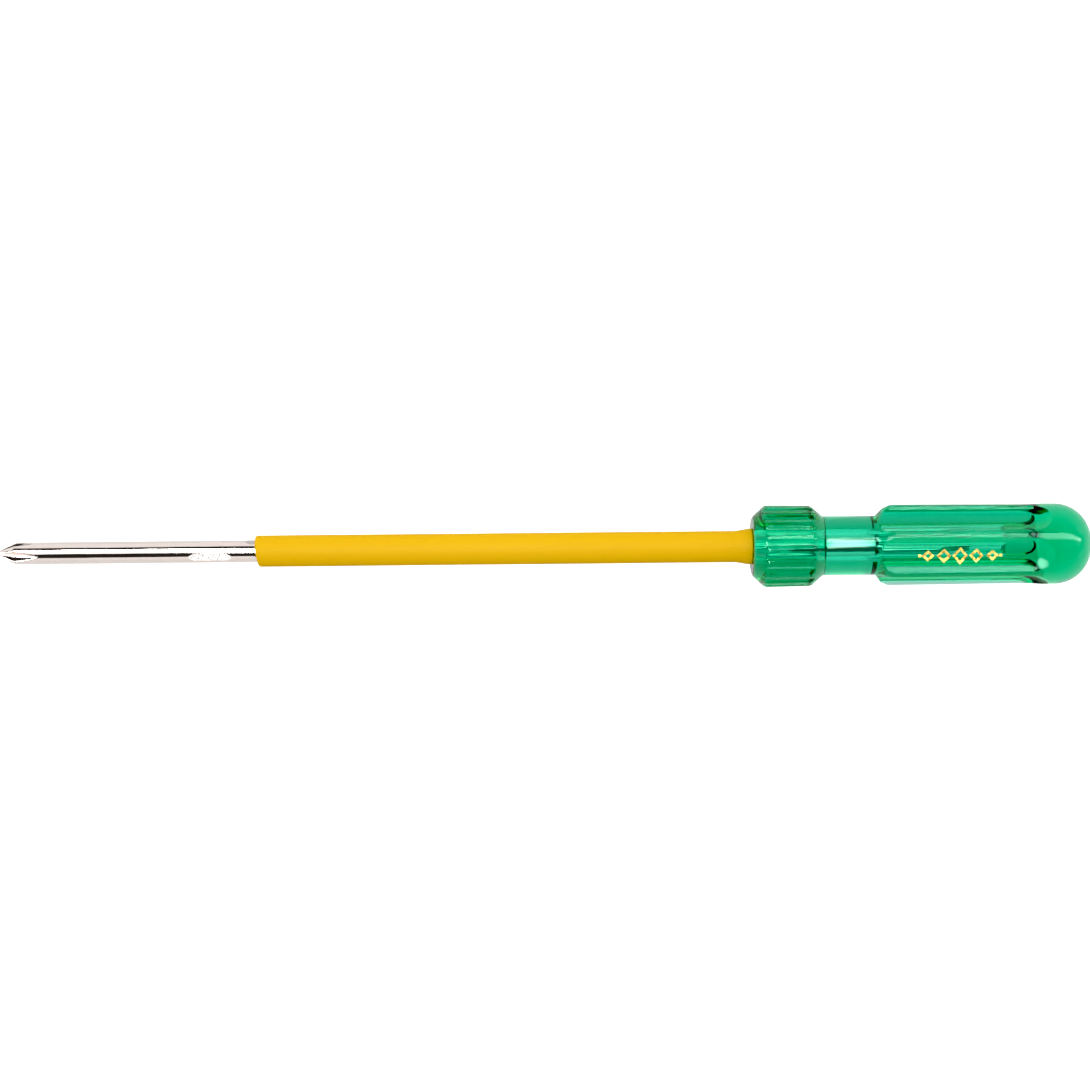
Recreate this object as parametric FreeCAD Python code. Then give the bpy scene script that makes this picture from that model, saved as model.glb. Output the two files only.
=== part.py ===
import FreeCAD, Part
import math
import os

# Insulated screwdriver with a reversible blade.  Millimetres, +Z up.
# X runs along the tool: the cross tip's end is at x = 0 and the handle's butt is the far end.
# One of the handle's six lands points along +Z.

# Bar and tips
BAR_RADIUS = 3.0
BAR_LENGTH = 261.4
CROSS_END_RADIUS = 0.85
CROSS_HALF_ANGLE = 26.5
FLUTE_END_X = 10.9
FLUTE_CORE_RADIUS = 0.7
FLUTE_HALF_ANGLE = 46.0
FLUTE_TURN = 34.0
SLOT_TIP_LENGTH = 9.0
SLOT_TIP_THICKNESS = 1.0

# Pressed keys: two flats pressed into the bar push up two shorter wings at right angles to them.
# Each tip has a long pair and, further in, a short pair a quarter turn round.
LONG_KEY_START = 51.0
LONG_KEY_LENGTH = 12.2
SHORT_KEY_START = 66.3
SHORT_KEY_LENGTH = 9.0
KEY_FLAT_DEPTH = 0.25
KEY_TURN = 45.0
WING_RADIUS = 0.9
WING_HEIGHT = 0.15
WING_LEAD = 0.6
WING_INSET = 3.0

# Insulating sleeve
SLEEVE_START = 69.1
SLEEVE_RADIUS = 4.25
SLEEVE_BORE_RADIUS = 3.0
SLEEVE_CUT_ANGLE = 6.0
SLEEVE_EDGE_ROUND = 0.5
FLARE_LENGTH = 3.5
FLARE_RADIUS = 4.85
FLARE_BORE_RADIUS = 3.35
SLEEVE_FACE_GAP = 0.05

# Handle, along X
FACE_X = 203.1
FRONT_ROUND_X = 203.85
COLLAR_FULL_X = 206.5
COLLAR_CHAMFER_X = 218.9
NECK_START_X = 222.2
NECK_END_X = 236.5
SHOULDER_ROUND_X = 238.1
SHOULDER_END_X = 240.2
TOTAL_LENGTH = 294.6

# Handle, radii
FACE_RADIUS = 7.0
FRONT_ROUND_RADIUS = 8.6
COLLAR_RADIUS = 11.05
COLLAR_REAR_RADIUS = 10.87
NECK_RADIUS = 8.0
SHOULDER_ROUND_RADIUS = 10.15
GRIP_FRONT_RADIUS = 11.25
GRIP_REAR_RADIUS = 10.9
DOME_CORNER_RADIUS = 9.5
DOME_NOSE_RADIUS = 12.5

# Grip scoops: straight troughs of round section that end in a ball of the same radius
SCOOP_COUNT = 6
SCOOP_RADIUS = 8.4
SCOOP_AXIS_RADIUS = 16.8
SCOOP_BALL_X = 276.4

# Collar grooves
GROOVE_COUNT = 18
GROOVE_RADIUS = 1.9
GROOVE_FLOOR_RADIUS = 10.5
GROOVE_TURN = 10.0

# Bore for the blade, with four keyways for its wings; it runs on past the blade's hidden end
BORE_CLEARANCE = 0.05
BORE_END_GAP = 9.4
KEYWAY_WIDTH = 1.95
KEYWAY_RADIUS = 3.3
KEYWAY_DEPTH = 10.3

# Gold foil ornament: five open lozenges and two end dots, pressed flush into one scoop
FOIL_CENTRE_X = 257.8
FOIL_SIDE_OFFSET = -0.5
FOIL_THICKNESS = 0.06
FOIL_TURN = 30.0
LOZENGE_PITCH = 4.3
LOZENGE_LENGTHS = (3.4, 3.8, 4.1, 3.8, 3.4)
LOZENGE_HEIGHTS = (3.0, 3.9, 4.8, 3.9, 3.0)
LOZENGE_LINE = 0.62
DOT_RADIUS = 0.45
DOT_OFFSET = 10.8

# Round cutters keep their seam line clear of the lines where other shapes meet
SEAM_TURN = 100.0

X_AXIS = FreeCAD.Vector(1, 0, 0)
ORIGIN = FreeCAD.Vector(0, 0, 0)


def point(x, radius):
    """A point of a section drawn in the XZ plane."""
    return FreeCAD.Vector(x, 0, radius)


def line(start, end):
    return Part.LineSegment(point(*start), point(*end)).toShape()


def arc(start, middle, end):
    return Part.Arc(point(*start), point(*middle), point(*end)).toShape()


def turned(edges):
    """A solid of revolution about X from a closed section of edges."""
    face = Part.Face(Part.Wire(edges))
    return face.revolve(ORIGIN, X_AXIS, 360)


def rod(radius, start_x, end_x, offset=0.0):
    """A round rod along X, its axis raised by offset along Z and its seam turned to the side."""
    shape = Part.makeCylinder(radius, end_x - start_x, point(start_x, offset), X_AXIS)
    shape.rotate(point(start_x, offset), X_AXIS, SEAM_TURN)
    return shape


def rolled(shape, degrees):
    """A copy of the shape turned about the tool's axis, +Z towards -Y."""
    copy = shape.copy()
    copy.rotate(ORIGIN, X_AXIS, degrees)
    return copy


def around(shape, count, first=0.0):
    """Copies of the shape spaced evenly about the tool's axis."""
    return [rolled(shape, first + 360.0 * index / count) for index in range(count)]


def end_for_end(shape):
    """The shape as it lies when the blade is reversed in the handle."""
    copy = shape.copy()
    copy.rotate(FreeCAD.Vector(BAR_LENGTH / 2, 0, 0), FreeCAD.Vector(0, 0, 1), 180)
    return copy


def bar_blank():
    """The round bar with its cross-tip cone at one end."""
    cone_end_x = (BAR_RADIUS - CROSS_END_RADIUS) / math.tan(math.radians(CROSS_HALF_ANGLE))
    corners = [
        (0, 0),
        (0, CROSS_END_RADIUS),
        (cone_end_x, BAR_RADIUS),
        (BAR_LENGTH, BAR_RADIUS),
        (BAR_LENGTH, 0),
    ]
    edges = [line(a, b) for a, b in zip(corners, corners[1:] + corners[:1])]
    return turned(edges)


def flute_cutters():
    """Four V grooves whose roots climb from the core at the tip to the bar's surface."""
    slope = (BAR_RADIUS - FLUTE_CORE_RADIUS) / FLUTE_END_X
    start_x = -1.0
    end_x = FLUTE_END_X + 1.0
    spread = math.tan(math.radians(FLUTE_HALF_ANGLE))
    top = 2 * BAR_RADIUS
    sections = []
    for x in (start_x, end_x):
        root = FLUTE_CORE_RADIUS + slope * x
        half_width = (top - root) * spread
        corners = [
            FreeCAD.Vector(x, 0, root),
            FreeCAD.Vector(x, half_width, top),
            FreeCAD.Vector(x, -half_width, top),
        ]
        sections.append(Part.makePolygon(corners + corners[:1]))
    cutter = Part.makeLoft(sections, True, True)
    return around(cutter, 4, FLUTE_TURN)


def slot_tip_cutters():
    """Two wedges that leave the flat slotted tip at the bar's far end."""
    start_x = BAR_LENGTH - SLOT_TIP_LENGTH
    blend_x = BAR_LENGTH - SLOT_TIP_LENGTH / 3
    half_thickness = SLOT_TIP_THICKNESS / 2
    corners = [
        point(start_x, BAR_RADIUS),
        point(blend_x, half_thickness + 0.1),
        point(BAR_LENGTH + 1, half_thickness),
        point(BAR_LENGTH + 1, 2 * BAR_RADIUS),
        point(start_x, 2 * BAR_RADIUS),
    ]
    face = Part.Face(Part.makePolygon(corners + corners[:1]))
    face.translate(FreeCAD.Vector(0, -2 * BAR_RADIUS, 0))
    wedge = face.extrude(FreeCAD.Vector(0, 4 * BAR_RADIUS, 0))
    return around(wedge, 2, KEY_TURN)


def key_flats(start_x, length, turn):
    """Cutters for a pair of opposite flats, faces square to the given roll angle."""
    floor = BAR_RADIUS - KEY_FLAT_DEPTH
    corner = FreeCAD.Vector(start_x, -BAR_RADIUS, floor)
    block = Part.makeBox(length, 2 * BAR_RADIUS, BAR_RADIUS, corner)
    return around(block, 2, turn)


def key_wings(start_x, length, turn):
    """A pair of opposite wings, each a low ridge with a tapered lead at both ends."""
    end_x = start_x + length - WING_INSET
    start_x = start_x + WING_INSET
    axis_height = BAR_RADIUS + WING_HEIGHT - WING_RADIUS
    ridge = rod(WING_RADIUS, start_x + WING_LEAD, end_x - WING_LEAD, axis_height)
    tip_radius = WING_RADIUS - WING_HEIGHT
    front = Part.makeCone(tip_radius, WING_RADIUS, WING_LEAD, point(start_x, axis_height), X_AXIS)
    rear_foot = point(end_x - WING_LEAD, axis_height)
    rear = Part.makeCone(WING_RADIUS, tip_radius, WING_LEAD, rear_foot, X_AXIS)
    return around(ridge.fuse([front, rear]), 2, turn)


def make_blade():
    keys = [
        (LONG_KEY_START, LONG_KEY_LENGTH, KEY_TURN),
        (SHORT_KEY_START, SHORT_KEY_LENGTH, -KEY_TURN),
    ]
    flats = []
    wings = []
    for start_x, length, turn in keys:
        flats += key_flats(start_x, length, turn)
        wings += key_wings(start_x, length, turn + 90)
    flats += [end_for_end(flat) for flat in flats]
    wings += [end_for_end(wing) for wing in wings]
    bar = bar_blank().cut(flute_cutters() + slot_tip_cutters() + flats)
    return bar.fuse(wings).removeSplitter()


def make_sleeve():
    end_x = FACE_X - SLEEVE_FACE_GAP
    flare_x = end_x - FLARE_LENGTH
    corners = [
        (SLEEVE_START, SLEEVE_BORE_RADIUS),
        (SLEEVE_START, SLEEVE_RADIUS - SLEEVE_EDGE_ROUND),
        (SLEEVE_START + SLEEVE_EDGE_ROUND, SLEEVE_RADIUS),
        (flare_x, SLEEVE_RADIUS),
        (end_x, FLARE_RADIUS),
        (end_x, FLARE_BORE_RADIUS),
        (flare_x, SLEEVE_BORE_RADIUS),
    ]
    edges = [line(a, b) for a, b in zip(corners, corners[1:] + corners[:1])]
    sleeve = turned(edges)
    block_side = 4 * SLEEVE_RADIUS
    block = Part.makeBox(block_side, block_side, block_side)
    block.translate(FreeCAD.Vector(-block_side, -block_side / 2, -block_side / 2))
    block.rotate(ORIGIN, FreeCAD.Vector(0, 0, 1), SLEEVE_CUT_ANGLE)
    oblique = SLEEVE_RADIUS * math.tan(math.radians(SLEEVE_CUT_ANGLE))
    block.translate(FreeCAD.Vector(SLEEVE_START + oblique, 0, 0))
    return sleeve.cut(block)


def collar_edges():
    """Front face, its rounded edge, cone, rim, rear chamfer and neck of the handle's section."""
    round_middle = (
        FACE_X + 0.33 * (FRONT_ROUND_X - FACE_X),
        FACE_RADIUS + 0.54 * (FRONT_ROUND_RADIUS - FACE_RADIUS),
    )
    cone_start = (FRONT_ROUND_X, FRONT_ROUND_RADIUS)
    return [
        line((FACE_X, 0), (FACE_X, FACE_RADIUS)),
        arc((FACE_X, FACE_RADIUS), round_middle, cone_start),
        line(cone_start, (COLLAR_FULL_X, COLLAR_RADIUS)),
        line((COLLAR_FULL_X, COLLAR_RADIUS), (COLLAR_CHAMFER_X, COLLAR_REAR_RADIUS)),
        line((COLLAR_CHAMFER_X, COLLAR_REAR_RADIUS), (NECK_START_X, NECK_RADIUS)),
        line((NECK_START_X, NECK_RADIUS), (NECK_END_X, NECK_RADIUS)),
    ]


def grip_edges():
    """Shoulder, grip and domed butt: a corner arc tangent to a flatter nose arc."""
    nose_centre_x = TOTAL_LENGTH - DOME_NOSE_RADIUS
    corner_centre_r = GRIP_REAR_RADIUS - DOME_CORNER_RADIUS
    reach = DOME_NOSE_RADIUS - DOME_CORNER_RADIUS
    run = math.sqrt(reach ** 2 - corner_centre_r ** 2)
    corner_centre_x = nose_centre_x + run
    slant = math.atan2(corner_centre_r, run)
    meet = (
        nose_centre_x + DOME_NOSE_RADIUS * math.cos(slant),
        DOME_NOSE_RADIUS * math.sin(slant),
    )
    corner_angle = (slant + math.pi / 2) / 2
    corner_middle = (
        corner_centre_x + DOME_CORNER_RADIUS * math.cos(corner_angle),
        corner_centre_r + DOME_CORNER_RADIUS * math.sin(corner_angle),
    )
    nose_middle = (
        nose_centre_x + DOME_NOSE_RADIUS * math.cos(slant / 2),
        DOME_NOSE_RADIUS * math.sin(slant / 2),
    )
    round_bulge = (
        NECK_END_X + 0.45 * (SHOULDER_ROUND_X - NECK_END_X),
        NECK_RADIUS + 0.54 * (SHOULDER_ROUND_RADIUS - NECK_RADIUS),
    )
    shoulder = (SHOULDER_ROUND_X, SHOULDER_ROUND_RADIUS)
    grip_front = (SHOULDER_END_X, GRIP_FRONT_RADIUS)
    grip_rear = (corner_centre_x, GRIP_REAR_RADIUS)
    butt = (TOTAL_LENGTH, 0)
    return [
        arc((NECK_END_X, NECK_RADIUS), round_bulge, shoulder),
        line(shoulder, grip_front),
        line(grip_front, grip_rear),
        arc(grip_rear, corner_middle, meet),
        arc(meet, nose_middle, butt),
        line(butt, (FACE_X, 0)),
    ]


def scoop_cutters():
    trough = rod(SCOOP_RADIUS, NECK_START_X, SCOOP_BALL_X, SCOOP_AXIS_RADIUS)
    ball = Part.makeSphere(SCOOP_RADIUS, point(SCOOP_BALL_X, SCOOP_AXIS_RADIUS), X_AXIS)
    return around(trough.fuse(ball), SCOOP_COUNT, 180.0 / SCOOP_COUNT)


def groove_cutters():
    groove = rod(GROOVE_RADIUS, FACE_X, NECK_START_X, GROOVE_FLOOR_RADIUS + GROOVE_RADIUS)
    return around(groove, GROOVE_COUNT, GROOVE_TURN)


def bore_cutter():
    """The blind bore for the bar, with a keyway for each direction a wing can point."""
    bore = rod(BAR_RADIUS + BORE_CLEARANCE, FACE_X - 1, BAR_LENGTH + BORE_END_GAP)
    corner = FreeCAD.Vector(FACE_X - 1, -KEYWAY_WIDTH / 2, 0)
    keyway = Part.makeBox(KEYWAY_DEPTH + 1, KEYWAY_WIDTH, KEYWAY_RADIUS, corner)
    return bore.fuse(around(keyway, 4, KEY_TURN))


def lozenge(length, height, centre_x):
    """A tall prism of lozenge section, standing along Z over the ornament's line."""
    corners = [
        FreeCAD.Vector(centre_x - length / 2, FOIL_SIDE_OFFSET, 0),
        FreeCAD.Vector(centre_x, FOIL_SIDE_OFFSET - height / 2, 0),
        FreeCAD.Vector(centre_x + length / 2, FOIL_SIDE_OFFSET, 0),
        FreeCAD.Vector(centre_x, FOIL_SIDE_OFFSET + height / 2, 0),
    ]
    face = Part.Face(Part.makePolygon(corners + corners[:1]))
    return face.extrude(FreeCAD.Vector(0, 0, SCOOP_AXIS_RADIUS))


def make_foil_mark():
    """Thin solids that fill the pressed lines of the ornament, flush with the scoop's floor."""
    span = (FOIL_CENTRE_X - 2 * DOT_OFFSET, FOIL_CENTRE_X + 2 * DOT_OFFSET)
    outer = rod(SCOOP_RADIUS + FOIL_THICKNESS, *span, SCOOP_AXIS_RADIUS)
    skin = outer.cut(rod(SCOOP_RADIUS, *span, SCOOP_AXIS_RADIUS))
    stamps = []
    for index, (length, height) in enumerate(zip(LOZENGE_LENGTHS, LOZENGE_HEIGHTS)):
        centre_x = FOIL_CENTRE_X + (index - 2) * LOZENGE_PITCH
        inner_scale = 1 - 2 * LOZENGE_LINE * math.hypot(length, height) / (length * height)
        outside = lozenge(length, height, centre_x)
        inside = lozenge(length * inner_scale, height * inner_scale, centre_x)
        stamps.append(outside.cut(inside))
    for side in (-1, 1):
        foot = FreeCAD.Vector(FOIL_CENTRE_X + side * DOT_OFFSET, FOIL_SIDE_OFFSET, 0)
        stamps.append(Part.makeCylinder(DOT_RADIUS, SCOOP_AXIS_RADIUS, foot))
    pieces = [rolled(stamp.common(skin), FOIL_TURN) for stamp in stamps]
    return Part.makeCompound([solid for piece in pieces for solid in piece.Solids])


def make_handle(foil):
    body = turned(collar_edges() + grip_edges())
    body = body.cut(scoop_cutters())
    body = body.cut(groove_cutters())
    body = body.cut(bore_cutter())
    return body.cut(foil)


def main():
    os.makedirs("parts", exist_ok=True)
    foil = make_foil_mark()
    nodes = {
        "handle": make_handle(foil),
        "blade": make_blade(),
        "insulation_sleeve": make_sleeve(),
        "foil_mark": foil,
    }
    for name, shape in nodes.items():
        shape.exportStep(f"parts/{name}.step")
        print(name, len(shape.Solids), "solids", round(shape.Volume, 2), "mm3", shape.isValid())


main()
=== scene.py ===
import bpy
import math
import numpy as np
from mathutils import Matrix, Quaternion, Vector


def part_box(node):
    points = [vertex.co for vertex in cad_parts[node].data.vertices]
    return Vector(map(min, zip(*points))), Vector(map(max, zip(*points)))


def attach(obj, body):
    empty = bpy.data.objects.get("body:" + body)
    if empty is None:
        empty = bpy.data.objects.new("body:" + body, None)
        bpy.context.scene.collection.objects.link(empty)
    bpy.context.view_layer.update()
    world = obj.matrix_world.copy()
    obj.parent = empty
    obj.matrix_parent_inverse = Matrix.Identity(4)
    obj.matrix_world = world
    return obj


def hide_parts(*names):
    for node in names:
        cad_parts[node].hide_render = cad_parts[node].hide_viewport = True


# Insulated screwdriver with a reversible blade.  Metres, the CAD model's own frame: X runs from
# the cross tip to the butt, and one of the grip's six lands points along +Z.

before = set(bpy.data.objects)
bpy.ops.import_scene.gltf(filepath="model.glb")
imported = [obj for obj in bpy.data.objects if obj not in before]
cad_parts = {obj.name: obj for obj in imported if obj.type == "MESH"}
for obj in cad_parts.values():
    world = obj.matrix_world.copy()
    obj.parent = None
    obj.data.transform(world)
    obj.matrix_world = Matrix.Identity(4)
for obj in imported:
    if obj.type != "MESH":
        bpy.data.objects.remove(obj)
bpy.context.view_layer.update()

MM = 0.001
DEG = math.pi / 180

# ---------------------------------------------------------------- places taken from the frame
handle_low, handle_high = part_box("handle")
blade_low, blade_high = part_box("blade")
sleeve_low, sleeve_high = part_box("insulation_sleeve")
foil_low, foil_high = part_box("foil_mark")

FACE_X = handle_low.x
BUTT_X = handle_high.x
TIP_X = blade_low.x
BAR_END_X = blade_high.x
BAR_R = 3.0 * MM
SLEEVE_START_X = sleeve_low.x
SLEEVE_END_X = sleeve_high.x
FOIL_CENTRE_X = (foil_low.x + foil_high.x) / 2

# ---------------------------------------------------------------- handle, offsets from its face
CONE_LENGTH = 3.4 * MM
RIM_LENGTH = 12.4 * MM
CHAMFER_LENGTH = 3.3 * MM
NECK_END = 33.4 * MM
SHOULDER_ROUND_END = 35.0 * MM
SHOULDER_END = 37.1 * MM
FRONT_CORNER_R = 7.906 * MM
COLLAR_R = 11.05 * MM
COLLAR_REAR_R = 10.87 * MM
NECK_R = 8.0 * MM
SHOULDER_ROUND_R = 10.15 * MM
GRIP_FRONT_R = 11.25 * MM
GRIP_REAR_R = 10.9 * MM
DOME_CORNER_R = 9.5 * MM
DOME_NOSE_R = 12.5 * MM
CORNER_ROUNDS = (2.0, 2.2, 2.0, 0.8, 0.8, 2.4, 1.6)

# Six scoops, eighteen collar grooves and the bore
SCOOPS = 6
SCOOP_R = 8.4 * MM
SCOOP_AXIS_R = 16.8 * MM
SCOOP_BALL_FROM_BUTT = 18.2 * MM
LAND_EDGE_ROUND = 0.22 * MM
LAND_EDGE_ANGLE = 26.0 * DEG
LAND_EDGE_BAND = 2.2 * DEG
GROOVES = 18
GROOVE_R = 1.9 * MM
GROOVE_FLOOR_R = 10.5 * MM
GROOVE_TURN = 10 * DEG
GROOVE_EDGE_ROUND = 0.36 * MM
BORE_R = 3.05 * MM
BORE_END_GAP = 9.4 * MM
KEYWAY_HALF_WIDTH = 0.975 * MM
KEYWAY_R = 3.3 * MM
KEYWAY_DEPTH = 10.3 * MM
BROACHED_LENGTH = 18.3 * MM
RINGS_START = 29.2 * MM
RINGS_END = 35.3 * MM
RING_PITCH = 0.4 * MM

# ---------------------------------------------------------------- blade, offsets from the tip
CROSS_END_R = 0.85 * MM
CROSS_HALF_ANGLE = 26.5 * DEG
FLUTE_LENGTH = 10.9 * MM
FLUTE_CORE_R = 0.62 * MM
FLUTE_HALF_ANGLE = 46 * DEG
FLUTE_TURN = 34 * DEG
SLOT_TIP_LENGTH = 9.0 * MM
SLOT_TIP_THICKNESS = 1.0 * MM
KEY_TURN = 45 * DEG
LONG_KEY = (51.0 * MM, 12.2 * MM)
SHORT_KEY = (66.3 * MM, 9.0 * MM)
KEY_FLAT_DEPTH = 0.21 * MM
KEY_LEAD = 2.0 * MM
WING_R = 0.9 * MM
WING_HEIGHT = 0.14 * MM
WING_INSET = 3.0 * MM
STIPPLE_DEPTH = 0.035 * MM
STIPPLE_PITCH = 0.42 * MM

# ---------------------------------------------------------------- sleeve
SLEEVE_R = 4.25 * MM
SLEEVE_CUT_ANGLE = 6 * DEG
SLEEVE_BORE_R = BAR_R + 0.01 * MM
FLARE_LENGTH = 3.5 * MM
FLARE_R = 4.85 * MM

# ---------------------------------------------------------------- foil ornament
FOIL_TURN = 30 * DEG
FOIL_SIDE_OFFSET = -0.5 * MM
LOZENGE_PITCH = 4.3 * MM
LOZENGE_LENGTHS = (3.4, 3.8, 4.1, 3.8, 3.4)
LOZENGE_HEIGHTS = (3.0, 3.9, 4.8, 3.9, 3.0)
LOZENGE_LINE = 0.62 * MM
DOT_R = 0.45 * MM
DOT_OFFSET = 10.8 * MM
FOIL_PROUD = 0.02 * MM
FOIL_SUNK = 0.03 * MM

# ---------------------------------------------------------------- camera
VIEW_ELEVATION = 77.1 * DEG
VIEW_DISTANCE = 531 * MM
VIEW_ROLL = 0.555 * DEG
AIM_ABOVE_AXIS = 0.92 * MM
LENS = 64.9

# ---------------------------------------------------------------- light
FLOOR_SIDE = 8.0
FLOOR_GLOW = 0.5
FLOOR_SEEN = 1.2
ROOM_LEVEL = 0.05
ROOM_LEVEL_THROUGH_HANDLE = 0.22
PANEL_LENGTH = 9.0
BLACK_LEVEL = 0.02


def make_camera():
    """The camera looks down on the tool, which fills the frame from side to side."""
    back = Vector((0, -math.cos(VIEW_ELEVATION), math.sin(VIEW_ELEVATION)))
    up = Vector((0, math.sin(VIEW_ELEVATION), math.cos(VIEW_ELEVATION)))
    middle = (TIP_X + BUTT_X) / 2
    data = bpy.data.cameras.new("camera")
    data.lens = LENS
    data.sensor_width = 36
    data.clip_start = 0.01
    data.clip_end = 50
    camera = bpy.data.objects.new("camera", data)
    bpy.context.scene.collection.objects.link(camera)
    camera.location = Vector((middle, 0, 0)) + AIM_ABOVE_AXIS * up + VIEW_DISTANCE * back
    camera.rotation_mode = "QUATERNION"
    level = (-back).to_track_quat("-Z", "Y")
    camera.rotation_quaternion = level @ Quaternion((0, 0, 1), -VIEW_ROLL)
    bpy.context.scene.camera = camera


make_camera()


# ---------------------------------------------------------------- mesh helpers
def smooth_min(a, b, width):
    """The lower of a and b, rounded over where they meet."""
    share = np.clip(0.5 + 0.5 * (b - a) / width, 0, 1)
    return b + (a - b) * share - width * share * (1 - share)


def smooth_step(value, start, end):
    t = np.clip((value - start) / (end - start), 0, 1)
    return t * t * (3 - 2 * t)


def fold(angle, pitch, first=0.0):
    """The angle measured from the nearest of the directions spaced evenly by pitch."""
    return (angle - first + pitch / 2) % pitch - pitch / 2


def spread(start, end, steps):
    """Points from start to end, the end left for the next stretch."""
    return np.linspace(start, end, steps, endpoint=False)


def rounded_path(corners, rounds, steps):
    """Points along straight runs between corners, each inner corner turned to its own radius."""
    corners = [np.array(corner) for corner in corners]
    points = []
    start = corners[0]
    for index, (run_steps, arc_steps) in enumerate(steps[:-1]):
        corner = corners[index + 1]
        into = corner - corners[index]
        into = into / np.linalg.norm(into)
        out = corners[index + 2] - corner
        out = out / np.linalg.norm(out)
        turn = math.atan2(into[0] * out[1] - into[1] * out[0], into @ out)
        reach = rounds[index] * MM * math.tan(abs(turn) / 2)
        arc_start = corner - reach * into
        points += straight(start, arc_start, run_steps)
        side = math.copysign(1, turn) * np.array((-into[1], into[0]))
        centre = arc_start + rounds[index] * MM * side
        for angle in spread(0, abs(turn), arc_steps):
            reel = rounds[index] * MM * (math.sin(angle) * into - math.cos(angle) * side)
            points.append(tuple(centre + reel))
        start = corner + reach * out
    points += straight(start, corners[-1], steps[-1][0])
    return points


def grid_mesh(name, rings, closed_start=True, closed_end=True):
    """One skin over rings of points, each ring the same length, with fans over the ends."""
    count = len(rings)
    columns = len(rings[0])
    points = np.concatenate(rings)
    faces = []
    for i in range(count - 1):
        for j in range(columns):
            k = (j + 1) % columns
            faces.append((i * columns + j, i * columns + k,
                          (i + 1) * columns + k, (i + 1) * columns + j))
    extra = []
    for closed, ring, flip in ((closed_start, 0, True), (closed_end, count - 1, False)):
        if not closed:
            continue
        pole = len(points) + len(extra)
        extra.append(np.mean(rings[ring], axis=0))
        for j in range(columns):
            k = (j + 1) % columns
            a, b = ring * columns + j, ring * columns + k
            faces.append((b, a, pole) if flip else (a, b, pole))
    if extra:
        points = np.concatenate([points, np.array(extra)])
    mesh = bpy.data.meshes.new(name)
    mesh.from_pydata(points.tolist(), [], faces)
    mesh.validate()
    mesh.shade_smooth()
    return mesh


def ring_points(x, radius, angles):
    """A ring about the X axis. The angle runs from +Z towards -Y."""
    x = np.broadcast_to(x, angles.shape)
    radius = np.broadcast_to(radius, angles.shape)
    return np.stack([x, -radius * np.sin(angles), radius * np.cos(angles)], axis=1)


def add_piece(name, mesh, body, material, replaced):
    piece = bpy.data.objects.new(name, mesh)
    bpy.context.scene.collection.objects.link(piece)
    mesh.materials.append(material)
    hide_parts(replaced)
    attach(piece, body)
    return piece


# ---------------------------------------------------------------- materials
def new_material(name):
    material = bpy.data.materials.new(name)
    material.use_nodes = True
    nodes = material.node_tree.nodes
    return material, nodes, material.node_tree.links, nodes["Principled BSDF"]


def object_coordinates(nodes):
    return nodes.new("ShaderNodeTexCoord").outputs["Object"]


def add_noise(nodes, links, vector, scale, detail=3.0, stretch=None):
    """A noise texture over the object's own coordinates, stretched along X if asked."""
    if stretch:
        mapping = nodes.new("ShaderNodeMapping")
        mapping.inputs["Scale"].default_value = (stretch, 1, 1)
        links.new(vector, mapping.inputs["Vector"])
        vector = mapping.outputs["Vector"]
    noise = nodes.new("ShaderNodeTexNoise")
    noise.inputs["Scale"].default_value = scale
    noise.inputs["Detail"].default_value = detail
    links.new(vector, noise.inputs["Vector"])
    return noise.outputs["Fac"]


def remap(nodes, links, value, low, high):
    node = nodes.new("ShaderNodeMapRange")
    node.inputs["To Min"].default_value = low
    node.inputs["To Max"].default_value = high
    links.new(value, node.inputs["Value"])
    return node.outputs["Result"]


def add_bump(nodes, links, height, strength, distance, normal=None):
    bump = nodes.new("ShaderNodeBump")
    bump.inputs["Strength"].default_value = strength
    bump.inputs["Distance"].default_value = distance
    links.new(height, bump.inputs["Height"])
    if normal is not None:
        links.new(normal, bump.inputs["Normal"])
    return bump.outputs["Normal"]


def between(nodes, links, value, low, high):
    """One where the value lies between low and high, zero elsewhere."""
    over = math_node(nodes, links, "GREATER_THAN", value, low)
    under = math_node(nodes, links, "LESS_THAN", value, high)
    return math_node(nodes, links, "MULTIPLY", over, under)


def math_node(nodes, links, operation, first, second):
    node = nodes.new("ShaderNodeMath")
    node.operation = operation
    for socket, value in zip(node.inputs, (first, second)):
        if isinstance(value, (int, float)):
            socket.default_value = value
        else:
            links.new(value, socket)
    return node.outputs["Value"]


def along_and_out(nodes, links, place):
    """The position along the tool and the distance from its axis."""
    split = nodes.new("ShaderNodeSeparateXYZ")
    links.new(place, split.inputs["Vector"])
    flat = nodes.new("ShaderNodeCombineXYZ")
    links.new(split.outputs["Y"], flat.inputs["Y"])
    links.new(split.outputs["Z"], flat.inputs["Z"])
    length = nodes.new("ShaderNodeVectorMath")
    length.operation = "LENGTH"
    links.new(flat.outputs["Vector"], length.inputs[0])
    return split.outputs["X"], length.outputs["Value"]


def bore_masks(nodes, links, x, radius):
    """Masks for the bore's broached and reamed stretches."""
    wall = math_node(nodes, links, "LESS_THAN", radius, KEYWAY_R + 0.2 * MM)
    matt = between(nodes, links, x, FACE_X, FACE_X + BROACHED_LENGTH)
    ringed = between(nodes, links, x, FACE_X + RINGS_START, FACE_X + RINGS_END)
    broached = math_node(nodes, links, "MULTIPLY", wall, matt)
    reamed = math_node(nodes, links, "MULTIPLY", wall, ringed)
    return broached, reamed


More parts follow.
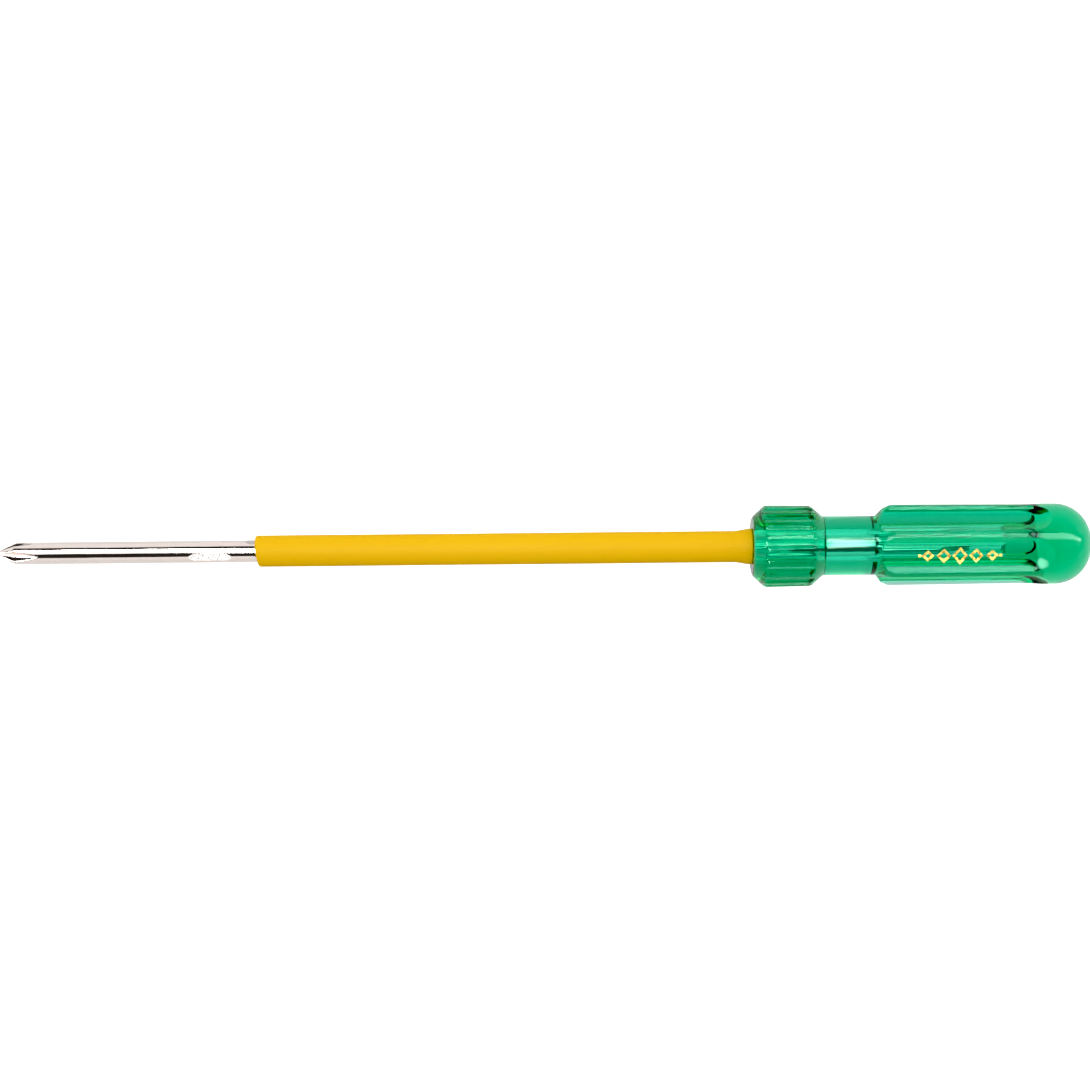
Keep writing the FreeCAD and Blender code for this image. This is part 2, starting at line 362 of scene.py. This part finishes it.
def acetate_material():
    """Clear green acetate: coloured by absorption, polished outside, tool marks in the bore."""
    material, nodes, links, shader = new_material("green_acetate")
    shader.inputs["Base Color"].default_value = (1, 1, 1, 1)
    shader.inputs["Transmission Weight"].default_value = 1.0
    shader.inputs["IOR"].default_value = 1.48
    shader.inputs["Specular Tint"].default_value = (0.2, 0.34, 0.28, 1)
    place = object_coordinates(nodes)
    x, radius = along_and_out(nodes, links, place)
    broached, reamed = bore_masks(nodes, links, x, radius)
    wear = add_noise(nodes, links, place, 900, 2)
    polish = remap(nodes, links, wear, 0.0, 0.02)
    matt = math_node(nodes, links, "MULTIPLY", broached, 0.14)
    links.new(math_node(nodes, links, "ADD", polish, matt), shader.inputs["Roughness"])
    waves = add_noise(nodes, links, place, 160, 1)
    surface = add_bump(nodes, links, waves, 0.006, 0.0005)
    turns = math_node(nodes, links, "MULTIPLY", x, 2 * math.pi / RING_PITCH)
    rings = math_node(nodes, links, "SINE", turns, 0.0)
    height = math_node(nodes, links, "MULTIPLY", rings, reamed)
    links.new(add_bump(nodes, links, height, 0.6, 0.00003, surface), shader.inputs["Normal"])
    absorb = nodes.new("ShaderNodeVolumeAbsorption")
    absorb.inputs["Color"].default_value = (0.04, 0.876, 0.714, 1)
    absorb.inputs["Density"].default_value = 290
    output = nodes["Material Output"]
    links.new(absorb.outputs["Volume"], output.inputs["Volume"])
    return material


def chrome_material():
    """Bright plating with fine drawing lines, and duller, paler floors in the pressed keys."""
    material, nodes, links, shader = new_material("bright_plate")
    shader.inputs["Metallic"].default_value = 1.0
    place = object_coordinates(nodes)
    x, radius = along_and_out(nodes, links, place)
    near_keys = between(nodes, links, x, LONG_KEY[0], LONG_KEY[0] + LONG_KEY[1])
    sunk = math_node(nodes, links, "LESS_THAN", radius, BAR_R - 0.02 * MM)
    pressed = math_node(nodes, links, "MULTIPLY", near_keys, sunk)
    tint = add_noise(nodes, links, place, 300, 3)
    ramp = nodes.new("ShaderNodeValToRGB")
    ramp.color_ramp.elements[0].color = (0.66, 0.59, 0.55, 1)
    ramp.color_ramp.elements[1].color = (0.74, 0.66, 0.62, 1)
    links.new(tint, ramp.inputs["Fac"])
    specks = add_noise(nodes, links, place, 2200, 2)
    worn = nodes.new("ShaderNodeValToRGB")
    worn.color_ramp.elements[0].position = 0.35
    worn.color_ramp.elements[0].color = (0.45, 0.42, 0.40, 1)
    worn.color_ramp.elements[1].position = 0.45
    worn.color_ramp.elements[1].color = (1.0, 0.96, 0.93, 1)
    links.new(specks, worn.inputs["Fac"])
    mix = nodes.new("ShaderNodeMix")
    mix.data_type = "RGBA"
    links.new(pressed, mix.inputs["Factor"])
    links.new(ramp.outputs["Color"], mix.inputs[6])
    links.new(worn.outputs["Color"], mix.inputs[7])
    near_short = between(nodes, links, x, SHORT_KEY[0], SHORT_KEY[0] + SHORT_KEY[1])
    rubbed = math_node(nodes, links, "MULTIPLY", near_short, sunk)
    grey = nodes.new("ShaderNodeMix")
    grey.data_type = "RGBA"
    links.new(rubbed, grey.inputs["Factor"])
    links.new(mix.outputs[2], grey.inputs[6])
    grey.inputs[7].default_value = (0.50, 0.46, 0.44, 1)
    links.new(grey.outputs[2], shader.inputs["Base Color"])
    drawn = add_noise(nodes, links, place, 2600, 2, stretch=0.02)
    polish = remap(nodes, links, drawn, 0.03, 0.10)
    dull = math_node(nodes, links, "MULTIPLY", pressed, 0.3)
    links.new(math_node(nodes, links, "ADD", polish, dull), shader.inputs["Roughness"])
    links.new(add_bump(nodes, links, drawn, 0.06, 0.0002), shader.inputs["Normal"])
    return material


def pvc_material():
    """Extruded yellow PVC: satin skin, faint drag lines and small scuffs."""
    material, nodes, links, shader = new_material("yellow_pvc")
    place = object_coordinates(nodes)
    cloud = add_noise(nodes, links, place, 60, 3, stretch=0.2)
    ramp = nodes.new("ShaderNodeValToRGB")
    ramp.color_ramp.elements[0].color = (0.47, 0.275, 0.0125, 1)
    ramp.color_ramp.elements[1].color = (0.505, 0.295, 0.0145, 1)
    links.new(cloud, ramp.inputs["Fac"])
    links.new(ramp.outputs["Color"], shader.inputs["Base Color"])
    drag = add_noise(nodes, links, place, 1500, 2, stretch=0.02)
    grain = add_noise(nodes, links, place, 2500, 2)
    links.new(remap(nodes, links, grain, 0.38, 0.52), shader.inputs["Roughness"])
    lines = add_bump(nodes, links, drag, 0.15, 0.0003)
    links.new(add_bump(nodes, links, grain, 0.05, 0.0001, lines), shader.inputs["Normal"])
    shader.inputs["IOR"].default_value = 1.5
    shader.inputs["Specular IOR Level"].default_value = 0.012
    return material


def foil_material():
    """Gold foil, slightly crinkled where it took the plastic's shape, with dark brown patches of
    painted shade over the crinkles.
    """
    material, nodes, links, shader = new_material("gold_foil")
    shader.inputs["Metallic"].default_value = 0.55
    place = object_coordinates(nodes)
    crinkle_and_shade = add_noise(nodes, links, place, 1500, 3)
    # the ramp's dark end is painted shade on the foil; the same noise also sets real roughness and
    # crinkle bumps
    ramp = nodes.new("ShaderNodeValToRGB")
    ramp.color_ramp.elements[0].position = 0.38
    ramp.color_ramp.elements[0].color = (0.30, 0.13, 0.01, 1)
    ramp.color_ramp.elements[1].position = 0.55
    ramp.color_ramp.elements[1].color = (0.86, 0.60, 0.13, 1)
    links.new(crinkle_and_shade, ramp.inputs["Fac"])
    links.new(ramp.outputs["Color"], shader.inputs["Base Color"])
    links.new(remap(nodes, links, crinkle_and_shade, 0.35, 0.55), shader.inputs["Roughness"])
    links.new(add_bump(nodes, links, crinkle_and_shade, 0.5, 0.0002), shader.inputs["Normal"])
    return material


# ---------------------------------------------------------------- handle
def handle_profile():
    """The handle's outer section as (x, radius) points from the front face to near the butt."""
    rim_x = FACE_X + CONE_LENGTH + RIM_LENGTH
    shoulder_x = FACE_X + SHOULDER_END
    nose_centre = BUTT_X - DOME_NOSE_R
    corner_r = GRIP_REAR_R - DOME_CORNER_R
    reach = DOME_NOSE_R - DOME_CORNER_R
    run = math.sqrt(reach ** 2 - corner_r ** 2)
    slant = math.atan2(corner_r, run)
    corner_x = nose_centre + run
    ball_x = BUTT_X - SCOOP_BALL_FROM_BUTT

    taper = (GRIP_REAR_R - GRIP_FRONT_R) / (corner_x - shoulder_x)
    ball_start = (ball_x, GRIP_FRONT_R + taper * (ball_x - shoulder_x))
    corners = [
        (FACE_X, KEYWAY_R + 0.35 * MM),
        (FACE_X, FRONT_CORNER_R),
        (FACE_X + CONE_LENGTH, COLLAR_R),
        (rim_x, COLLAR_REAR_R),
        (rim_x + CHAMFER_LENGTH, NECK_R),
        (FACE_X + NECK_END, NECK_R),
        (FACE_X + SHOULDER_ROUND_END, SHOULDER_ROUND_R),
        (shoulder_x, GRIP_FRONT_R),
        ball_start,
    ]
    steps = ((4, 9), (6, 9), (12, 10), (6, 6), (6, 7), (5, 9), (4, 8), (10, 0))
    points = rounded_path(corners, CORNER_ROUNDS, steps)
    points += straight(ball_start, (corner_x, GRIP_REAR_R), 46)
    for angle in spread(math.pi / 2, slant, 26):
        points.append((corner_x + DOME_CORNER_R * math.cos(angle),
                       corner_r + DOME_CORNER_R * math.sin(angle)))
    for angle in spread(slant, 0, 12):
        points.append((nose_centre + DOME_NOSE_R * math.cos(angle), DOME_NOSE_R * math.sin(angle)))
    return [tuple(p) for p in points]


def straight(start, end, steps):
    return list(zip(spread(start[0], end[0], steps), spread(start[1], end[1], steps)))


def trough_radius(angle, radius, axis_radius):
    """How far out a round trough's near wall lies at an angle from the trough's middle."""
    inside = radius ** 2 - (axis_radius * np.sin(angle)) ** 2
    wall = axis_radius * np.cos(angle) - np.sqrt(np.maximum(inside, 0))
    return np.where(inside > 0, wall, 1.0)


def handle_angles():
    """Columns round the handle, closer together at the edges of the lands."""
    pitch = 2 * math.pi / SCOOPS
    edge = LAND_EDGE_ANGLE
    band = LAND_EDGE_BAND
    near = spread(-edge - band, -edge + band, 12)
    floor = spread(-edge + band, edge - band, 42)
    far = spread(edge - band, edge + band, 12)
    land = spread(edge + band, pitch - edge - band, 6)
    sector = np.concatenate([near, floor, far, land])
    starts = (np.arange(SCOOPS) + 0.5) * pitch
    return np.concatenate([sector + start for start in starts])


def handle_rings():
    angles = handle_angles()
    pitch = 2 * math.pi / SCOOPS
    scoop_angle = fold(angles, pitch, pitch / 2)
    groove_angle = fold(angles, 2 * math.pi / GROOVES, GROOVE_TURN)
    groove = trough_radius(groove_angle, GROOVE_R, GROOVE_FLOOR_R + GROOVE_R)
    ball_x = BUTT_X - SCOOP_BALL_FROM_BUTT
    neck_x = FACE_X + NECK_END - 1 * MM

    rings = []
    bore_end = BAR_END_X + BORE_END_GAP
    keyway_end = FACE_X + KEYWAY_DEPTH
    key_angle = fold(angles, math.pi / 2, KEY_TURN)
    keyway = np.minimum(KEYWAY_R / np.cos(key_angle),
                        KEYWAY_HALF_WIDTH / np.maximum(np.abs(np.sin(key_angle)), 1e-6))
    keyed = np.maximum(BORE_R, keyway)
    for share in (0.15, 0.6, 0.96):
        rings.append(ring_points(bore_end, BORE_R * share, angles))
    for x in (bore_end - 0.06 * MM, *np.linspace(bore_end - 0.3 * MM, keyway_end, 8)):
        rings.append(ring_points(x, BORE_R, angles))
    for x in np.linspace(keyway_end - 1.2 * MM, FACE_X + 0.1 * MM, 8):
        rings.append(ring_points(x, keyed, angles))
    rings.append(ring_points(FACE_X, keyed + 0.1 * MM, angles))

    for x, radius in handle_profile():
        outer = np.full(angles.shape, radius)
        if x < neck_x:
            outer = smooth_min(outer, groove, GROOVE_EDGE_ROUND)
        else:
            reach = SCOOP_R ** 2 - max(x - ball_x, 0) ** 2
            if reach > 0:
                scoop = trough_radius(scoop_angle, math.sqrt(reach), SCOOP_AXIS_R)
                outer = smooth_min(outer, scoop, LAND_EDGE_ROUND)
        rings.append(ring_points(x, outer, angles))
    return rings


# ---------------------------------------------------------------- blade
def stipple(x, angles):
    """Small pits pressed by the key tool, the same on every run."""
    u = x / STIPPLE_PITCH
    v = angles * BAR_R / STIPPLE_PITCH
    return np.sin(u * 6.1 + 1.7 * np.sin(v * 2.3)) * np.sin(v * 5.3 + 1.3 * np.sin(u * 1.9))


def key_shape(radius, x, angles, start, length, turn):
    """A ring's radius with a pair of pressed flats and the wings they push up."""
    depth = smooth_step(x, start, start + KEY_LEAD) - smooth_step(
        x, start + length - KEY_LEAD, start + length)
    if depth <= 0:
        return radius
    flat_angle = fold(angles, math.pi, turn)
    floor = (BAR_R - KEY_FLAT_DEPTH * depth) / np.cos(flat_angle)
    floor = floor + STIPPLE_DEPTH * depth * stipple(x, angles)
    radius = np.minimum(radius, floor)
    depth = smooth_step(x, start + WING_INSET, start + WING_INSET + 0.5 * MM) - smooth_step(
        x, start + length - WING_INSET - 0.9 * MM, start + length - WING_INSET)
    if depth <= 0:
        return radius
    wing_angle = fold(angles, math.pi, turn + math.pi / 2)
    lift = BAR_R + WING_HEIGHT * depth - WING_R
    inside = WING_R ** 2 - (lift * np.sin(wing_angle)) ** 2
    ridge = np.where(inside > 0, lift * np.cos(wing_angle) + np.sqrt(np.maximum(inside, 0)), 0)
    return np.maximum(radius, ridge)


def cross_tip_radius(x, angles):
    """The point's cone cut by four V flutes with curved roots."""
    cone = CROSS_END_R + x * math.tan(CROSS_HALF_ANGLE)
    outer = smooth_min(np.full(angles.shape, cone), np.full(angles.shape, BAR_R), 0.12 * MM)
    rise = x / FLUTE_LENGTH
    root = FLUTE_CORE_R + (BAR_R - FLUTE_CORE_R) * (0.55 * rise + 0.45 * rise ** 3)
    flute_angle = fold(angles, math.pi / 2, FLUTE_TURN)
    slope = 1 / math.tan(FLUTE_HALF_ANGLE)
    narrow = np.cos(flute_angle) - np.abs(np.sin(flute_angle)) * slope
    flute = root / np.maximum(narrow, 1e-3)
    return smooth_min(outer, flute, 0.22 * MM)


def blade_rings():
    angles = np.linspace(0, 2 * math.pi, 216, endpoint=False)
    length = BAR_END_X - TIP_X
    tip = spread(0, FLUTE_LENGTH + 0.6 * MM, 92)
    plain = spread(FLUTE_LENGTH + 0.6 * MM, LONG_KEY[0] - 0.2 * MM, 8)
    keys = spread(LONG_KEY[0] - 0.2 * MM, SHORT_KEY[0] + SHORT_KEY[1] + 0.2 * MM, 120)
    middle = spread(SHORT_KEY[0] + SHORT_KEY[1] + 0.2 * MM, length / 2, 6)
    front = np.concatenate([tip, plain, keys, middle])
    far_keys = length - keys[::-1]
    far_plain = np.linspace(length / 2, far_keys[0], 6, endpoint=False)
    rear_plain = spread(far_keys[-1] + 0.1 * MM, length - SLOT_TIP_LENGTH, 6)
    slot_tip = np.linspace(length - SLOT_TIP_LENGTH, length, 40)
    rings = []
    rings.append(ring_points(TIP_X, 0.35 * np.full(angles.shape, FLUTE_CORE_R), angles))
    for x in np.concatenate([front, far_plain, far_keys, rear_plain, slot_tip]):
        back = length - x
        if x < FLUTE_LENGTH + 0.6 * MM:
            radius = cross_tip_radius(x, angles)
        else:
            radius = np.full(angles.shape, BAR_R)
        for start, run, turn in ((*LONG_KEY, KEY_TURN), (*SHORT_KEY, -KEY_TURN)):
            radius = key_shape(radius, x, angles, start, run, turn)
            radius = key_shape(radius, back, angles, start, run, turn)
        if back < SLOT_TIP_LENGTH:
            share = 1 - back / SLOT_TIP_LENGTH
            half = BAR_R + (SLOT_TIP_THICKNESS / 2 - BAR_R) * (1 - (1 - share) ** 2.2)
            flat = half / np.maximum(np.abs(np.cos(angles - KEY_TURN)), 1e-3)
            radius = smooth_min(radius, flat, 0.05 * MM)
        rings.append(ring_points(TIP_X + x, radius, angles))
    return rings


# ---------------------------------------------------------------- sleeve
def sleeve_rings():
    """A tube with a hand-cut front end, and a rear end that spreads over the blade's wings."""
    angles = np.linspace(0, 2 * math.pi, 128, endpoint=False)
    wall = [(0.10, -0.02), (0.45, 0.0), (0.8, 0.12), (0.94, 0.3), (1.0, 0.6)]
    rings = []
    lean = np.cos(angles - 2.2) * SLEEVE_R * math.tan(SLEEVE_CUT_ANGLE)
    lean = lean - lean.min()
    for share, inset in wall:
        radius = SLEEVE_BORE_R + (SLEEVE_R - SLEEVE_BORE_R) * share
        rings.append(ring_points(SLEEVE_START_X + lean + (inset + 0.02) * MM, radius, angles))
    flare_x = SLEEVE_END_X - FLARE_LENGTH
    body = np.linspace(SLEEVE_START_X + 2.2 * MM, flare_x - 2 * MM, 60)
    for x in body:
        swell = 0.012 * MM * math.sin(x / (11 * MM)) + 0.008 * MM * math.sin(x / (4.3 * MM) + 1)
        rings.append(ring_points(x, SLEEVE_R + swell, angles))
    for x in np.linspace(flare_x - 1.6 * MM, SLEEVE_END_X - 0.25 * MM, 18):
        grow = smooth_step(x, flare_x - 1.5 * MM, SLEEVE_END_X)
        rings.append(ring_points(x, SLEEVE_R + (FLARE_R - SLEEVE_R) * grow, angles))
    rings.append(ring_points(SLEEVE_END_X - 0.06 * MM, FLARE_R - 0.02 * MM, angles))
    rings.append(ring_points(SLEEVE_END_X, FLARE_R - 0.22 * MM, angles))
    rings.append(ring_points(SLEEVE_END_X, BAR_R + 0.40 * MM, angles))
    rings.append(ring_points(SLEEVE_END_X - FLARE_LENGTH, SLEEVE_BORE_R, angles))
    rings.append(ring_points(SLEEVE_START_X + 3 * MM, SLEEVE_BORE_R, angles))
    return rings


# ---------------------------------------------------------------- foil ornament
def on_scoop(along, across, sink):
    """A point of the scoop that carries the ornament, sink below its surface."""
    radius = SCOOP_R + sink
    lean = math.asin((across + FOIL_SIDE_OFFSET) / SCOOP_R)
    height = SCOOP_AXIS_R - radius * math.cos(lean)
    side = radius * math.sin(lean)
    y = side * math.cos(FOIL_TURN) - height * math.sin(FOIL_TURN)
    z = side * math.sin(FOIL_TURN) + height * math.cos(FOIL_TURN)
    return (FOIL_CENTRE_X + along, y, z)


def outline_points(corners, steps):
    """Points round a closed outline, each side cut into steps."""
    points = []
    for (ax, ay), (bx, by) in zip(corners, corners[1:] + corners[:1]):
        points += list(zip(spread(ax, bx, steps), spread(ay, by, steps)))
    return points


def add_band(vertices, faces, outer, inner):
    """A thin closed band between two outlines of equal length."""
    count = len(outer)
    base = len(vertices)
    layers = ((outer, -FOIL_PROUD), (inner, -FOIL_PROUD), (inner, FOIL_SUNK), (outer, FOIL_SUNK))
    for loop, sink in layers:
        vertices += [on_scoop(a, b, sink) for a, b in loop]
    for i in range(count):
        k = (i + 1) % count
        for layer in range(4):
            a = base + layer * count
            b = base + (layer + 1) % 4 * count
            faces.append((a + i, a + k, b + k, b + i))


def foil_mesh():
    vertices = []
    faces = []
    for index, (length, height) in enumerate(zip(LOZENGE_LENGTHS, LOZENGE_HEIGHTS)):
        middle = (index - 2) * LOZENGE_PITCH
        half_l = length * MM / 2
        half_h = height * MM / 2
        shrink = 1 - LOZENGE_LINE * math.hypot(half_l, half_h) / (half_l * half_h)
        loops = []
        for scale in (1.0, shrink):
            corners = [(middle - half_l * scale, 0), (middle, -half_h * scale),
                       (middle + half_l * scale, 0), (middle, half_h * scale)]
            loops.append(outline_points(corners, 6))
        add_band(vertices, faces, *loops)
    for side in (-1, 1):
        turns = spread(0, 2 * math.pi, 24)
        loops = [[(side * DOT_OFFSET + r * math.cos(t), -r * math.sin(t)) for t in turns]
                 for r in (DOT_R, DOT_R * 0.02)]
        add_band(vertices, faces, *loops)
    mesh = bpy.data.meshes.new("foil_mark")
    mesh.from_pydata(vertices, [], faces)
    mesh.validate()
    return mesh


# ---------------------------------------------------------------- stage and light
def make_floor():
    """A white light table, bright enough that the tool leaves no shadow on it."""
    side = FLOOR_SIDE
    low = handle_low.z - 0.05 * MM
    corners = [(-side, -side, low), (side, -side, low), (side, side, low), (-side, side, low)]
    mesh = bpy.data.meshes.new("floor")
    mesh.from_pydata(corners, [], [(0, 1, 2, 3)])
    floor = bpy.data.objects.new("floor", mesh)
    bpy.context.scene.collection.objects.link(floor)
    material, nodes, links, shader = new_material("floor_white")
    shader.inputs["Base Color"].default_value = (0.3, 0.3, 0.3, 1)
    shader.inputs["Roughness"].default_value = 0.9
    shader.inputs["Specular IOR Level"].default_value = 0.0
    shader.inputs["Emission Color"].default_value = (1, 1, 1, 1)
    path = nodes.new("ShaderNodeLightPath")
    glow = remap(nodes, links, path.outputs["Is Camera Ray"], FLOOR_GLOW, FLOOR_SEEN)
    links.new(glow, shader.inputs["Emission Strength"])
    mesh.materials.append(material)


def add_panel(name, first, last, distance, length, radiance, offset=0.0):
    """A lamp panel along the tool, seen from it between two angles from overhead towards +Y."""
    middle = (first + last) / 2 * DEG
    width = 2 * distance * math.tan((last - first) / 2 * DEG)
    data = bpy.data.lights.new(name, "AREA")
    data.shape = "RECTANGLE"
    data.size = length
    data.size_y = width
    data.energy = radiance * math.pi * length * width
    lamp = bpy.data.objects.new(name, data)
    bpy.context.scene.collection.objects.link(lamp)
    out = Vector((0, math.sin(middle), math.cos(middle)))
    lamp.location = Vector(((TIP_X + BUTT_X) / 2 + offset, 0, 0)) + distance * out
    across = Vector((0, math.cos(middle), -math.sin(middle)))
    lamp.rotation_euler = Matrix((Vector((1, 0, 0)), across, out)).transposed().to_euler()
    lamp.visible_camera = False
    return lamp


def add_end_panel(name, direction, distance, size, turn, radiance):
    """A lamp panel off one end of the tool, facing the handle's ornament."""
    out = Vector(direction).normalized()
    data = bpy.data.lights.new(name, "AREA")
    data.shape = "RECTANGLE"
    data.size = size[0]
    data.size_y = size[1]
    data.energy = radiance * math.pi * size[0] * size[1]
    lamp = bpy.data.objects.new(name, data)
    bpy.context.scene.collection.objects.link(lamp)
    lamp.location = Vector((FOIL_CENTRE_X, 0, 0)) + distance * out
    lamp.rotation_mode = "QUATERNION"
    lamp.rotation_quaternion = out.to_track_quat("Z", "Y") @ Quaternion((0, 0, 1), turn * DEG)
    lamp.visible_camera = False
    return lamp


def show_only(lamp, diffuse=False, glossy=False, transmission=False):
    """Let a lamp light dull surfaces, be reflected, or be seen through the handle, as asked."""
    lamp.visible_diffuse = diffuse
    lamp.visible_glossy = glossy
    lamp.visible_transmission = transmission


def make_lights():
    """A softbox with a hot core overhead, grey cards round it, and small lamps for the handle."""
    length = PANEL_LENGTH
    softbox = add_panel("softbox", -1, 17, 1.2, length, 5.0)
    show_only(softbox, diffuse=True, glossy=True)
    haze = add_panel("soft_ceiling", -12, 32, 1.22, length, 1.6)
    show_only(haze, transmission=True)
    core = add_panel("softbox_core", -1, 17, 1.15, length, 12)
    show_only(core, glossy=True)
    add_panel("ceiling_front", -23, -1, 1.25, length, 1.8)
    add_panel("card_back", 42, 92, 1.3, length, 1.15)
    add_panel("card_front", -92, -66, 1.3, length, 1.12)
    for name, first, last, radiance in (("fill_front", -68, -28, 1.05), ("fill_back", 22, 72, 0.8)):
        fill = add_panel(name, first, last, 1.4, length, radiance)
        show_only(fill, diffuse=True)
    # the bar's bright line, seen through the neck
    strip = add_panel("neck_strip", -37, 45, 1.1, 0.055, 9, 0.256)
    strip.data.color = (1.0, 0.20, 0.22)
    show_only(strip, transmission=True)
    # a glow on the table under the dome
    under = add_panel("butt_underlight", 110, 250, 0.01127, 0.034, 0.3, 0.153)
    under.data.color = (1.0, 1.0, 1.28)
    show_only(under, transmission=True)
    # the bright mark on the scoop's rounded end
    window = add_end_panel("window", (-0.453, -0.2055, 0.869), 0.343, (0.17, 0.17), 45, 27)
    show_only(window, glossy=True)
    add_end_panel("card_tip_end", (-1, 0, 0.12), 4.7, (5.0, 1.1), 0, 0.6)
    add_end_panel("card_butt_end", (1, 0, 0.25), 4.7, (5.0, 2.3), 0, 0.6)


def make_world():
    """A dim room round the lamps, a little brighter through the handle, white to the camera."""
    world = bpy.data.worlds.new("studio")
    bpy.context.scene.world = world
    world.use_nodes = True
    nodes = world.node_tree.nodes
    links = world.node_tree.links
    background = nodes["Background"]
    background.inputs["Color"].default_value = (1, 1, 1, 1)
    seen = nodes.new("ShaderNodeBackground")
    seen.inputs["Color"].default_value = (1, 1, 1, 1)
    path = nodes.new("ShaderNodeLightPath")
    dim = remap(nodes, links, path.outputs["Is Transmission Ray"],
                ROOM_LEVEL, ROOM_LEVEL_THROUGH_HANDLE)
    links.new(dim, background.inputs["Strength"])
    mix = nodes.new("ShaderNodeMixShader")
    links.new(path.outputs["Is Camera Ray"], mix.inputs["Fac"])
    links.new(background.outputs["Background"], mix.inputs[1])
    links.new(seen.outputs["Background"], mix.inputs[2])
    links.new(mix.outputs["Shader"], nodes["World Output"].inputs["Surface"])


# ---------------------------------------------------------------- build
add_piece("handle_body", grid_mesh("handle_body", handle_rings()),
          "handle", acetate_material(), "handle")
add_piece("reversible_blade", grid_mesh("reversible_blade", blade_rings()),
          "blade", chrome_material(), "blade")
add_piece("shaft_sleeve", grid_mesh("shaft_sleeve", sleeve_rings(), False, False),
          "blade", pvc_material(), "insulation_sleeve")
add_piece("foil_ornament", foil_mesh(), "handle", foil_material(), "foil_mark")
make_floor()
make_lights()
make_world()
view = bpy.context.scene.view_settings
view.view_transform = "Standard"
view.use_curve_mapping = True
view.curve_mapping.black_level = (BLACK_LEVEL, BLACK_LEVEL, BLACK_LEVEL)
view.curve_mapping.update()
